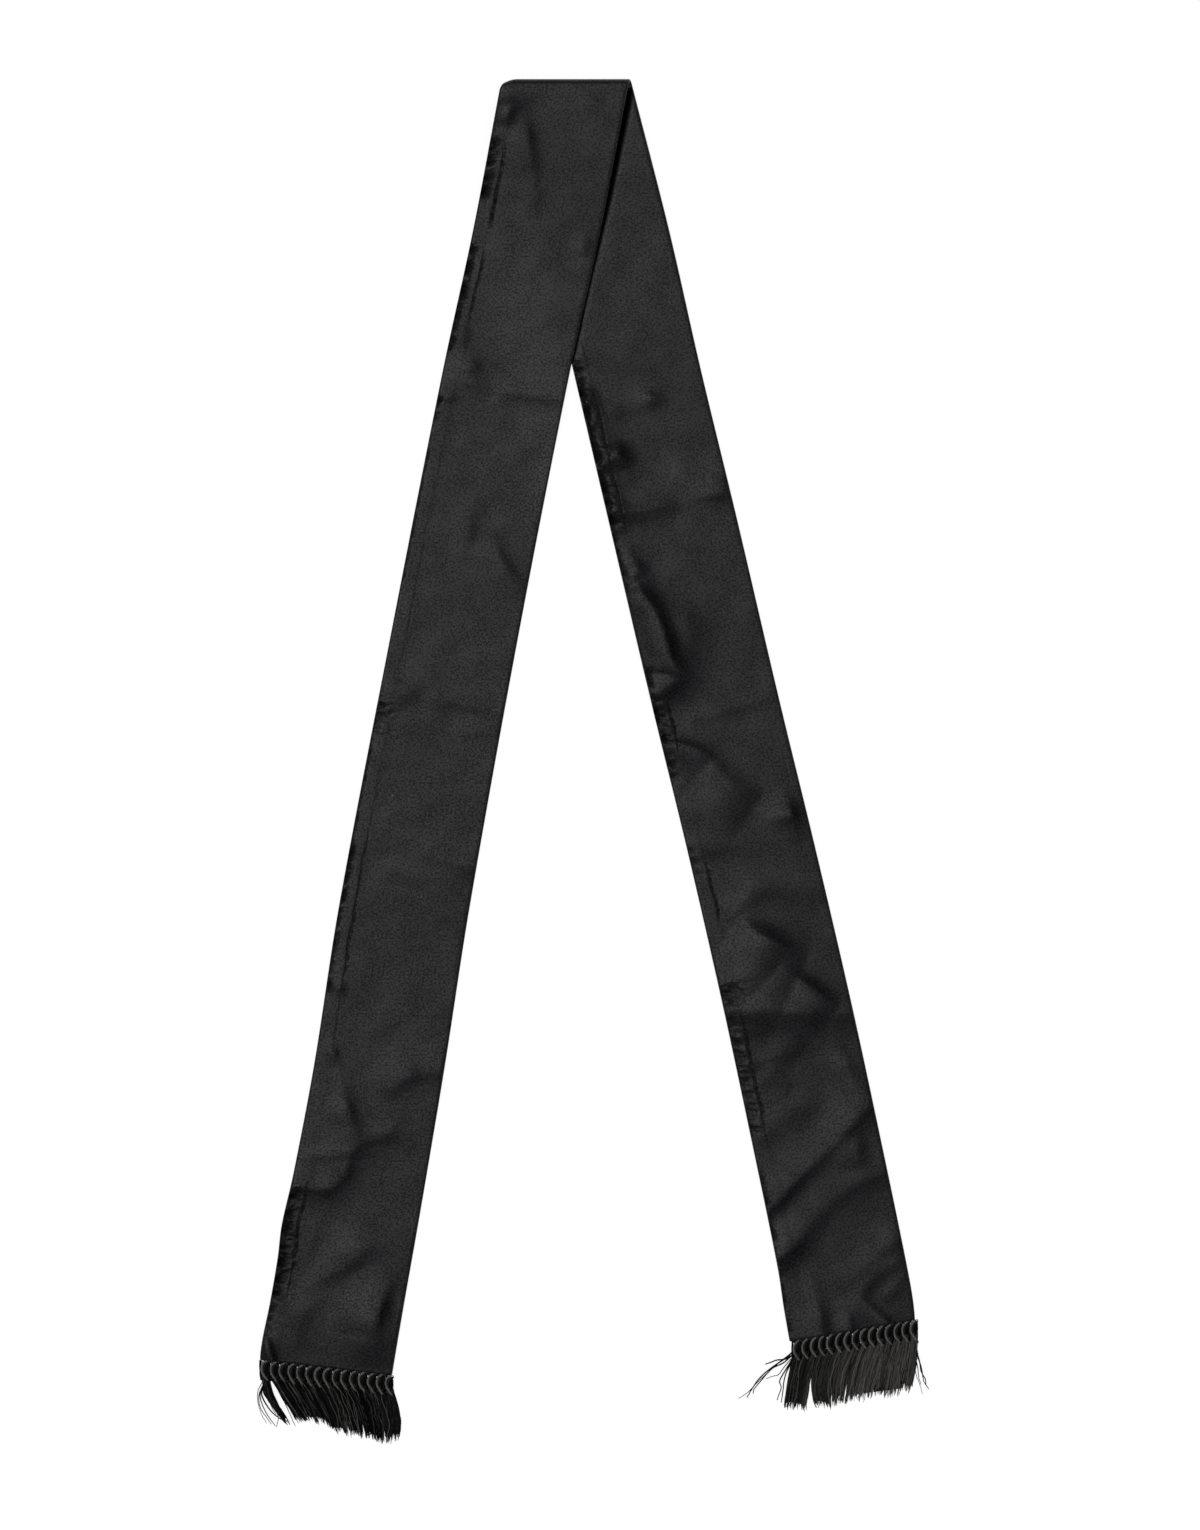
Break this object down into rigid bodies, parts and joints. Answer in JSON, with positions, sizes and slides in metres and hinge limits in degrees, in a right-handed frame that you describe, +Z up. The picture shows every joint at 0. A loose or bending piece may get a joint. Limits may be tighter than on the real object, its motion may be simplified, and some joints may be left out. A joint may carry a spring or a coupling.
{
  "type": "fringed scarf",
  "caption": "Narrow black silk satin evening scarf with knotted tassel fringes, laid flat and folded over once so that its two legs spread from the fold",
  "frame": {"origin": "middle of the lying scarf's footprint, on the surface it lies on", "axes": "seen from above, +X is to the right and +Y runs from the hems towards the fold; +Z is up out of the surface"},
  "size_m": [0.4176, 0.8686, 0.0069],
  "materials": {
    "silk_satin": "satin",
    "silk_thread": "silky twisted thread"
  },
  "bodies": {
    "root": {"silk_tube": "silk_satin", "tassel_left_01": "silk_thread", "tassel_left_02": "silk_thread", "tassel_left_03": "silk_thread", "tassel_left_04": "silk_thread", "tassel_left_05": "silk_thread", "tassel_left_06": "silk_thread", "tassel_left_07": "silk_thread", "tassel_left_08": "silk_thread", "tassel_left_09": "silk_thread", "tassel_left_10": "silk_thread", "tassel_left_11": "silk_thread", "tassel_left_12": "silk_thread", "tassel_left_13": "silk_thread", "tassel_left_14": "silk_thread", "tassel_left_15": "silk_thread", "tassel_right_01": "silk_thread", "tassel_right_02": "silk_thread", "tassel_right_03": "silk_thread", "tassel_right_04": "silk_thread", "tassel_right_05": "silk_thread", "tassel_right_06": "silk_thread", "tassel_right_07": "silk_thread", "tassel_right_08": "silk_thread", "tassel_right_09": "silk_thread", "tassel_right_10": "silk_thread", "tassel_right_11": "silk_thread", "tassel_right_12": "silk_thread", "tassel_right_13": "silk_thread", "tassel_right_14": "silk_thread", "tassel_right_15": "silk_thread"}
  },
  "joints": []
}
